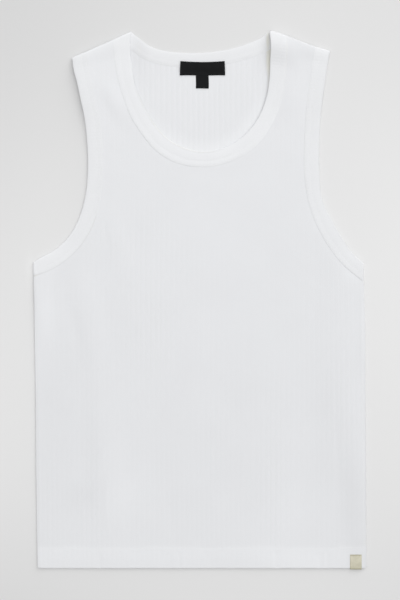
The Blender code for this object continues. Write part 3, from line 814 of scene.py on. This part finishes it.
def arm_share(x, y):
    """Painted light, whitest under the arms and fading up the left band to its seam; shade by
    seams.
    """
    to_left, to_right = (distance_to(x, y, path) for path in ARM_EDGES)
    fading = 1 - 0.6 * fade(to_left, 9, 20) * fade(y, 95, 125) * (x < 0)
    white = (0.008 + 0.012 * fade(y, 260, 200)) * fading
    low = fade(y, 120, 108) * (x < 0)
    to_seam = np.minimum(*(distance_to(x, y, path) for path in ARM_SEAMS))
    seam = ARM_SEAM_SHADE * fade(to_seam, *SEAM_LINE) * (low + 0.5 * fade(y, 60, 45) * (x > 0))
    # Painted highlight on the left band's rim low down, painted shade along the right band's free
    # edge.
    rim = 0.06 * fade(to_left, 1.5, 0) * low
    shaded = (0.04 + 0.035 * fade(y, 110, 70)) * fade(to_right, 2.64, 0.44)
    return white + rim - shaded - seam + shoulder_highlight(x, y) + spotted(ARM_PATCHES, x, y)


# %% Both panels
def dress(made, material, slot, *nodes):
    """The piece takes its material, stands for its solid and rides on the part's one body."""
    made.data.materials.clear()
    made.data.materials.append(material)
    bpy.ops.object.select_all(action="DESELECT")
    made.select_set(True)
    bpy.context.view_layer.objects.active = made
    bpy.ops.object.shade_smooth_by_angle(angle=math.radians(50))
    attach(made, "root")
    if nodes:
        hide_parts(*nodes)
    print(made.name, "has", len(made.data.polygons), "faces")


def sew_panel(name, node, ribs, rib, neck, share_at):
    made = panel(name, ribs, rib, front=neck is NECK_FRONT)
    cut_to_pattern(made, neck)
    paint(made, "doubled_hem_and_painted_light", share_at)
    dress(made, rib_knit, "rib_knit", node)
    return made


back = sew_panel("back_cloth", "back_panel", BACK_RIBS, BACK_RIB, NECK_BACK, back_share)
front = sew_panel("front_cloth", "front_panel", FRONT_RIBS, FRONT_RIB, NECK_FRONT, front_share)

# %% [markdown]
# ## The bands
# Each band is a strip of the same rib, turned so that its ribs run across it, doubled over the raw
# edge and sewn through. It runs along the front, rolls over at the shoulder, runs back along the
# inside and rolls over again. Each band starts as a flat grid that is closed both ways into a ring
# of tube. Its points are laid round the band's own section: a round fold at the free edge, two
# furrows where the stitches draw the cloth in, and a lip that laps over the panel at the seam.
# Towards the seam a band thins out, over a shorter way below the height that its style calls
# crisp.

# %% The section of a band
BAND_RIB_PITCH = 4.3
RIB_STEPS = 6
STITCH_IN = (8.0, 2.2)
EDGE_ROUND = 0.6
SWELL_AT = (3.0, 5.5, 8.5)
SEAM_RIDGE = Groove(BAND_WIDTH - 4.8, 2.0, 0.12)
BACK_DROP, BACK_TAPER = 0.35, 6.0
CRISP_TAPER = 2.5
LIP_FROM, LIP_TO = -10.0, 60.0
FURROW_AT, FURROW_REACH = 5.0, 58.0
BAND_RIB_SPOTS = [Spot(116, 326, 26, 40, 0.9)]
Across = namedtuple("Across", "place side rise")
Band = namedtuple(
    "Band",
    "name node front back material share ring lip_left lip_right drop taper furrows rib crisp",
)
BANDS = rows_of(
    Band,
    ("neck", "neckband", NECK_FRONT, NECK_BACK, neck_knit, neck_share, 0.681,
     0.06, 0.5, 0.1, 3.0, (0.09, 0.04), 0.45, 0.0),
    ("left_arm", "armband_left", ARM_LEFT, ARM_LEFT[::-1], arm_knit, arm_share, 0.658,
     0.4, 0.4, 0.17, 12.0, (0.02, 0.0), 0.7, 120.0),
    ("right_arm", "armband_right", ARM_RIGHT, ARM_RIGHT[::-1], arm_knit, arm_share, 0.65,
     0.12, 0.12, 0.1, 3.0, (0.03, 0.03), 0.8, 0.0),
)


def band_section():
    """Points round a band, with how far each stands out as a share of half the wall."""
    round_in = [EDGE_ROUND * (1 - math.cos(a * math.pi / 2)) for a in (0.35, 0.65, 1.0)]
    near = [BAND_WIDTH - row + d for row in STITCH_IN for d in (-1.1, -0.45, 0.0, 0.45, 1.1)]
    places = [*round_in, *SWELL_AT, *near, BAND_WIDTH - 0.2]
    shape = [(place, math.sqrt(1 - max(0.0, 1 - place / EDGE_ROUND) ** 2)) for place in places]
    outer = [Across(place, 1, rise) for place, rise in shape]
    inner = [Across(place, -1, rise) for place, rise in reversed(shape)]
    seam = [Across(BAND_WIDTH, 1, -1.0), Across(BAND_WIDTH, -1, -1.0)]
    return [Across(0.0, 1, 0.0)] + outer + seam + inner


SECTION = band_section()
print("a band has", len(SECTION), "points round its section")

# %% The rings of a band
TURN_STEPS = 10


def middle_line(row, edge_z, seam_z):
    """Free edge and seam at these heights."""
    return np.append(row[0:2], edge_z), np.append(row[2:4], seam_z)


def turn(row, inner_row, to_back):
    """Rings that carry a band round its fold."""
    away = np.append(outward(row, inner_row), 0.0)
    high = front_heights(row)
    middle = (high + BAND_WALL / 2) / 2
    edge_and_seam = np.array(middle_line(row, *middle))
    rings = []
    for step in range(1, TURN_STEPS):
        angle = math.pi * (step if to_back else TURN_STEPS - step) / TURN_STEPS
        normal = UP * math.cos(angle) + away * math.sin(angle)
        rings.append((*(edge_and_seam + np.outer(high - middle, normal)), normal, 0.5))
    return rings


def band_rings(band):
    """Each ring's free edge, seam and outer normal, and 1 if it lies in front, 0 behind."""
    step = BAND_RIB_PITCH / RIB_STEPS
    over, under = (walk(inset(half, band.front), step) for half in (band.front, band.back))
    rings = [(*middle_line(row, *front_heights(row)), UP, 1.0) for row in over]
    rings += turn(over[-1], over[-2], True)
    rings += [(*middle_line(row, BAND_WALL / 2, BAND_WALL / 2), -UP, 0.0) for row in under]
    rings += turn(over[0], over[1], False)
    return [np.array(column) for column in zip(*rings)]


# %% A band
def band_heights(band, place, side, rise, run, level, seam):
    """Height of the band's surface off its middle, for each ring and each point of the section."""
    x, y = seam[:, 0:1], seam[:, 1:2]
    standing = band.rib + spotted(BAND_RIB_SPOTS, x, y)
    ribs = BAND_RIB * standing * np.abs(np.cos(math.pi * run / BAND_RIB_PITCH)) ** 0.8
    shown = np.where(side > 0, level > 0.4, level < 0.6)
    swell = 0.16 * np.sin(np.clip((place - 1.0) / (BAND_WIDTH - 9.0), 0, 1) * math.pi)
    swell = swell + grooved([SEAM_RIDGE], place)
    crisp = fade(y, band.crisp, band.crisp - 12) * (band.crisp > 0)
    run_out = band.taper + (min(CRISP_TAPER, band.taper) - band.taper) * crisp
    drop = np.where(level > 0.5, band.drop, BACK_DROP)
    taper = np.where(level > 0.5, run_out, BACK_TAPER)
    swell = swell - drop * fade(place, BAND_WIDTH - taper, BAND_WIDTH)
    furrows = [Groove(BAND_WIDTH - row, 0.6, depth) for row, depth in zip(STITCH_IN, band.furrows)]
    strength = 0.15 + 0.85 * np.exp(-(((x - FURROW_AT) / FURROW_REACH) ** 2)) * (level > 0.5)
    relief = ribs * fade(place, 0, 2.5) + swell - grooved(furrows, place) * strength
    return BAND_WALL / 2 * rise + relief * shown * (rise > 0.5)


def lay_uv(made, along, girth):
    """A map in metres: along the band and across it, so that the knit follows the strip."""
    corners = np.empty(len(made.data.loops), np.int32)
    made.data.loops.foreach_get("vertex_index", corners)
    spread = np.stack([along[corners], girth[corners]], axis=1) * MM
    made.data.uv_layers.active.data.foreach_set("uv", spread.astype(np.float32).ravel())


def sew_band(band):
    edge, seam, normal, in_front = band_rings(band)
    across = seam - edge
    run = lengths(np.vstack([edge + seam, edge[:1] + seam[:1]]) / 2)
    place, side, rise = (np.array(column, float)[None, :] for column in zip(*SECTION))
    level = in_front[:, None]
    off = band_heights(band, place, side, rise, run[:-1, None], level, seam)
    lips = np.where(side > 0, level, 1 - level)
    given = np.interp(seam[:, 0:1], [LIP_FROM, LIP_TO], [band.lip_left, band.lip_right])
    given = given + 0.15 * fade(seam[:, 1:2], 230, 310)
    lip = np.where(level > 0.5, given, 0.5) * lips * (rise < 0)
    panel_top = PANEL_WALL - BAND_WALL / 2 - 0.1 + BAND_SINK * (level > 0.5)
    off = np.where(rise < 0, np.where(lips > 0.5, panel_top, BAND_WALL / 2 - 0.1), off)
    points = edge[:, None, :] + across[:, None, :] * ((place + lip) / BAND_WIDTH)[..., None]
    points = points + normal[:, None, :] * (off * side)[..., None]
    points[..., 2] = points[..., 2].clip(0)
    made, ring, point = grid_piece(band.name + "_binding", len(edge) + 1, len(SECTION) + 1)
    set_points(made, points[ring % len(edge), point % len(SECTION)])
    girth = [p.place if p.side > 0 else 2 * BAND_WIDTH - p.place for p in SECTION]
    lay_uv(made, run[ring], np.array([*girth, 2 * BAND_WIDTH])[point])
    edit((bpy.ops.mesh.remove_doubles, {"threshold": 0.000001}), NORMALS_OUT)
    dress(made, band.material, "band_knit", band.node)
    paint(made, "doubled_hem_and_painted_light", band.share)
    print(made.name, "is", round(run[-1]), "mm round")
    return made


bindings = [sew_band(band) for band in BANDS]

# %% [markdown]
# ## The stitches
# The bands and the hem are sewn with a machine that makes two rows at once. Each stitch is a short
# bit of thread that sinks a little into the knit. One stitch is modelled, as a stretched bead, and
# then copied along each row. A bead of a few faces is enough, because there are so many of them.

# %% One stitch, and a row of them
STITCH_PITCH = 3.0


def one_stitch():
    """A bead, 1 long and 1 thick, that lies along X: its points and its faces."""
    bead = new_mesh(bpy.ops.mesh.primitive_uv_sphere_add, segments=6, ring_count=4, radius=0.5)
    quarter = {"value": math.pi / 2, "orient_axis": "Y", "center_override": (0, 0, 0)}
    edit((bpy.ops.transform.rotate, quarter))
    points = np.array([v.co for v in bead.data.vertices])
    faces = [list(f.vertices) for f in bead.data.polygons]
    bpy.data.objects.remove(bead)
    return points, faces


BEAD, BEAD_FACES = one_stitch()


def stitches(name, rows, material, slot, length=2.3, thread=0.36):
    """Copies of the bead. A row gives its stitches' middles, directions and normals."""
    middles, runs, ups = (np.vstack(column) for column in zip(*rows))
    runs = unit(runs)
    sides = unit(np.cross(ups, runs))
    ups = np.cross(runs, sides)
    rng = np.random.default_rng(7)
    long = length * (1 + rng.uniform(-0.06, 0.06, len(middles)))[:, None]
    points = middles[:, None] + BEAD @ np.stack([runs * long, sides * thread, ups * thread], axis=1)
    points[..., 2] = points[..., 2].clip(0.02)
    faces = [[i * len(BEAD) + k for k in face] for i in range(len(middles)) for face in BEAD_FACES]
    mesh = bpy.data.meshes.new(name)
    mesh.from_pydata(world_points(points).tolist(), [], faces)
    made = bpy.data.objects.new(name, mesh)
    bpy.context.scene.collection.objects.link(made)
    dress(made, material, slot)
    print(name, len(middles), "stitches")


def along(path, ups, pitch=STITCH_PITCH):
    """Stitches at even steps along a line of points: middles, directions, normals."""
    run = lengths(path)
    at = np.arange(pitch / 2, run[-1], pitch)

    def found(columns, where):
        return np.stack([np.interp(where, run, column) for column in columns.T], axis=1)

    ahead, behind = found(path, at + pitch / 3), found(path, at - pitch / 3)
    return found(path, at), ahead - behind, found(ups, at)


# %% Thread
def thread_finish(name, colour):
    """Twisted thread: fine slanting grooves, and a little shine."""
    made, tree, shader = finish(name, 0.55, sheen=0.1)
    place = tree.nodes.new("ShaderNodeTexCoord").outputs["Object"]
    wave = tree.nodes.new("ShaderNodeTexWave")
    wave.bands_direction = "DIAGONAL"
    wave.inputs["Scale"].default_value = 900.0
    tree.links.new(place, wave.inputs["Vector"])
    bump(tree, shader, wave.outputs["Fac"], 0.04 * MM, 0.7)
    tint(tree, shader, noise(tree, place, 220.0), [c * 0.92 for c in colour], colour)
    return made


white_thread = thread_finish("white_thread", (0.86, 0.865, 0.87))
black_thread = thread_finish("black_thread", (0.02, 0.02, 0.021))
cream_thread = thread_finish("cream_thread", (0.3, 0.27, 0.16))


# %% Stitches round the bands
def band_stitches(band):
    """Two rows on the front of each band. On the neck they also show inside, along the back."""
    edge, seam, normal, in_front = band_rings(band)
    across = (seam - edge) / BAND_WIDTH
    level = in_front[:, None]
    rows = []
    for row in STITCH_IN:
        place = BAND_WIDTH - row
        for side in (1, -1) if band.name == "neck" else (1,):
            on_rib = band_heights(band, np.array([[place]]), side, 1.0, 0.0, level, seam)
            off = (on_rib - BAND_RIB * 0.4 * band.rib) * side
            path = edge + across * place + normal * off
            shown = (in_front > 0.3 if side > 0 else in_front < 0.7) & (path[:, 2] > 0.35)
            order = (np.arange(len(edge)) + np.argmin(shown)) % len(edge)
            seen = order[shown[order]]
            rows.append(along(path[seen], normal[seen] * side))
    stitches(band.name + "_stitches", rows, white_thread, "band_knit")


for band in BANDS:
    band_stitches(band)


# %% Stitches along the hem
def panel_top(x, y):
    """Height of the front's upper side in the middle of a furrow."""
    return panel_sides(x, y, 1e3, 0.0, True)[0]


def hem_row(up):
    y = HEM_Y + up
    left, right = side_lines(y)
    x = np.arange(left + 3.5, right - 3.5, 1.0)
    level = y - hem_wander(x)
    path = np.stack([x, level, panel_top(x, level) + 0.02], axis=1)
    return along(path, np.tile(UP, (len(x), 1)))


stitches("hem_stitches", [hem_row(up) for up in HEM_STITCHES], white_thread, "rib_knit")

# %% [markdown]
# ## Labels
# Both labels are black satin tape. The upper one is turned under at its ends and sewn to the back
# neck. The lower one is a short loop that hangs from under it. Their faces stay bare. Each starts
# as a grid, gets its thickness from Solidify, and is then laid where it rests, with its rim
# rounded.

# %% A tape
def tape(name, node, place, grid, thick, rim, *cloth):
    """A thin strip. From shares across and along it, place gives points, normals and its size."""
    made, column, row = grid_piece(name, *grid)
    modify(made, "SOLIDIFY", thickness=MM, offset=-1)
    u, v = column / (grid[0] - 1), row / (grid[1] - 1)
    points, normals, width, length = place(u, v)
    inside = np.minimum(np.minimum(u, 1 - u) * width, np.minimum(v, 1 - v) * length)
    left = np.clip(1 - inside / rim, 0, 1)
    half = normals * (thick / 2 * np.sqrt((1 - left**2).clip(0.03)))[:, None]
    set_points(made, np.concatenate([points + half, points - half]))
    edit(NORMALS_OUT)
    dress(made, *cloth, node)
    return made


def sewn(place, across, up, off, pitch):
    """A row of stitches on a tape, between the two shares that across or up gives."""
    u, v = (np.linspace(*np.broadcast_to(shares, 2), 30) for shares in (across, up))
    points, ups, _, _ = place(u, v)
    return along(points + ups * off, ups, pitch)


# %% Tape materials
def woven(name, dark, light, pick, end, depth, slope=0.0, middle=0.0, rim_shade=0.0, **surface):
    """Tape: picks run across it, ends along it. Painted shade may darken it towards low Y and at
    its rim.
    """
    made, tree, shader = finish(name, sheen_roughness=0.4, **surface)
    do = partial(value, tree)
    place = tree.nodes.new("ShaderNodeTexCoord").outputs["Object"]
    x, y, _ = parts(tree, place)
    picks = do("SINE", do("MULTIPLY", y, 2 * math.pi / (pick * MM)))
    ends = do("SINE", do("MULTIPLY", x, 2 * math.pi / (end * MM)))
    cross = do("MULTIPLY_ADD", do("MULTIPLY", picks, ends), 0.5, picks)
    bump(tree, shader, cross, depth * MM, 0.8)
    mottle = noise(tree, place, 160.0, 3.0)
    mixed = do("MULTIPLY_ADD", cross, 0.16, do("MULTIPLY_ADD", mottle, 0.45, 0.28))
    mixed = do("MULTIPLY_ADD", do("SUBTRACT", y, middle), slope, mixed)
    if rim_shade:
        mixed = do("MULTIPLY_ADD", painted(tree, "rim"), -rim_shade, mixed)
    tint(tree, shader, mixed, dark, light)
    return made


black_tape = woven(
    "black_tape", (0.0035, 0.0035, 0.004), (0.0115, 0.012, 0.013),
    pick=0.45, end=0.36, depth=0.03, roughness=0.62, sheen=0.03, specular=0.1,
)
# Painted shade: the loop darkens towards its lower end, and along its ends and sides by its rim.
cream_tape = woven(
    "cream_tape", (0.45, 0.425, 0.3), (0.86, 0.825, 0.69),
    pick=1.2, end=0.5, depth=0.1, roughness=0.85, sheen=0.1, slope=16.0, middle=-0.356, rim_shade=0.6,
)
BLACK, CREAM = (black_tape, "black_tape"), (cream_tape, "cream_tape")

# %% Neck label
LABEL_THICK = 0.42
LABEL_DIP = 1.3
LABEL_SIDE_HEM = 4.0
LABEL_LOW, LABEL_LENGTH = 303.6, 19.3
LABEL_SIDES = rows_of(Side, (303.6, -27.5, 33.9), (313, -27.2, 33.6), (322.9, -26.6, 33.1))


def neck_place(u, v):
    """The top edge dips at its middle. The tape comes down from the neckband to the panel."""
    y = LABEL_LOW + LABEL_LENGTH * v
    left, right = side_lines(y, LABEL_SIDES)
    x = left + (right - left) * u
    y = y - LABEL_DIP * (1 - (2 * u - 1) ** 2) * v + 0.25 * np.sin(u * 9.0) * (1 - v)
    z = 1.6 + 0.85 * fade(y, 306, 315) + 0.12 * np.sin(u * 7.0 + 0.5) * (1 - v)
    ends = np.minimum(u, 1 - u) * (right - left)
    z = z + 0.14 * fade(ends, LABEL_SIDE_HEM, LABEL_SIDE_HEM - 0.6)
    return np.stack([x, y, z], axis=1), np.tile(UP, (len(u), 1)), 60.0, LABEL_LENGTH


neck_tape = tape("neck_tape", "neck_label", neck_place, (81, 33), LABEL_THICK, 0.3, *BLACK)

# %% Size label
SIZE_WIDTH, SIZE_LENGTH = 17.4, 21.0


def size_place(u, v):
    x = SIZE_LABEL_CORNER[0] + SIZE_WIDTH * u + 0.15 * np.sin(v * 5.0)
    y = SIZE_LABEL_CORNER[1] + SIZE_LENGTH * v + 0.12 * np.sin(u * 6.0)
    z = 1.3 + 0.22 * (1 - v) * np.sin(u * math.pi) + 0.02 * v
    return np.stack([x, y, z], axis=1), np.tile(UP, (len(u), 1)), SIZE_WIDTH, SIZE_LENGTH


size_tape = tape("size_tape", "size_label", size_place, (33, 41), 0.36, 0.25, *BLACK)
ends = [sewn(neck_place, end, (0.06, 0.94), LABEL_THICK / 2 + 0.06, 2.4) for end in (0.035, 0.965)]
stitches("label_stitches", ends, black_thread, "black_tape", length=1.9, thread=0.3)

# %% [markdown]
# ## The loop in the hem
# A short length of cream tape is folded over the edge of the front hem near the side, and sewn
# through at its top. It is one strip, bent round the edge of the cloth. Its cross ribs are its
# weave.

# %% Hem tab
TAB_LEFT, TAB_RIGHT = 202.5, 218.1
TAB_TOP = -343.8
TAB_END = -363.9
TAB_THICK = 0.5
TAB_DROP = 0.3
TAB_INNER_LEG = 5.0
TAB_BEND = 1.3


def tab_profile():
    """Y, Z and normal of the tape's middle, from its outer end round the hem to its inner one."""
    middle = (TAB_LEFT + TAB_RIGHT) / 2
    y = np.linspace(TAB_TOP, TAB_END + TAB_BEND, 22)
    hem = panel_top(np.full_like(y, middle), np.maximum(y, HEM_Y + 2.0)).max()
    z = hem + 0.18 + TAB_THICK / 2 - TAB_DROP * ((TAB_TOP - y) / (TAB_TOP - TAB_END)) ** 2
    line = [(a, b, 0.0, 1.0) for a, b in zip(y, z)]
    under = float(rest([middle], [HEM_Y + 1.0])[0]) - 0.12 - TAB_THICK / 2
    radius = (z[-1] - under) / 2
    for angle in np.linspace(math.pi / 2, -math.pi / 2, 13)[1:-1]:
        out, up = math.cos(angle), math.sin(angle)
        bend = TAB_END + TAB_THICK / 2 + radius * 0.85 * (1 - out)
        line.append((bend, (z[-1] + under) / 2 + radius * up, -out, up))
    inner_leg = np.linspace(TAB_END + TAB_BEND, HEM_Y + TAB_INNER_LEG, 7)
    return np.array(line + [(a, under, 0.0, -1.0) for a in inner_leg])


TAB_LINE = tab_profile()


def tab_place(u, v):
    run = lengths(TAB_LINE[:, :2])
    at = v * run[-1]
    y, z, ny, nz = (np.interp(at, run, column) for column in TAB_LINE.T)
    x = TAB_LEFT + (TAB_RIGHT - TAB_LEFT) * u
    z = z + 0.1 * fade(at, 1.6, 0.4)
    normals = unit(np.stack([np.zeros_like(ny), ny, nz], axis=1))
    return np.stack([x, y, z], axis=1), normals, TAB_RIGHT - TAB_LEFT, run[-1]


def tab_rim(x, y):
    """Where painted shade darkens the loop: 1 along its ends, less along its sides and 0 on its
    face.
    """
    sides = fade(np.minimum(x - TAB_LEFT, TAB_RIGHT - x), 1.6, 0)
    return np.maximum(sides * 0.35, np.maximum(fade(TAB_TOP - y, 2, 0), fade(y - TAB_END, 2.4, 0)))


hem_loop = tape("hem_loop", "hem_tab", tab_place, (33, 81), TAB_THICK, 0.3, *CREAM)
paint(hem_loop, "rim", tab_rim)
row = sewn(tab_place, (0.05, 0.95), 0.055, TAB_THICK / 2 + 0.04, 2.2)
stitches("loop_stitches", [row], cream_thread, "cream_tape", length=1.7, thread=0.34)

# %% [markdown]
# ## The area of each piece
# A shop that wants to make or unfold the garment needs the flat size of each piece. The panels are
# cut with curved sides, so the area of each panel and each band is printed: half the surface of
# its wall.

# %% Sheets
def flat_area(made):
    """Half the surface of a wall, in square metres."""
    return round(sum(face.area for face in made.data.polygons) / 2, 4)


print("flat areas", {made.name: flat_area(made) for made in (front, back, *bindings)})
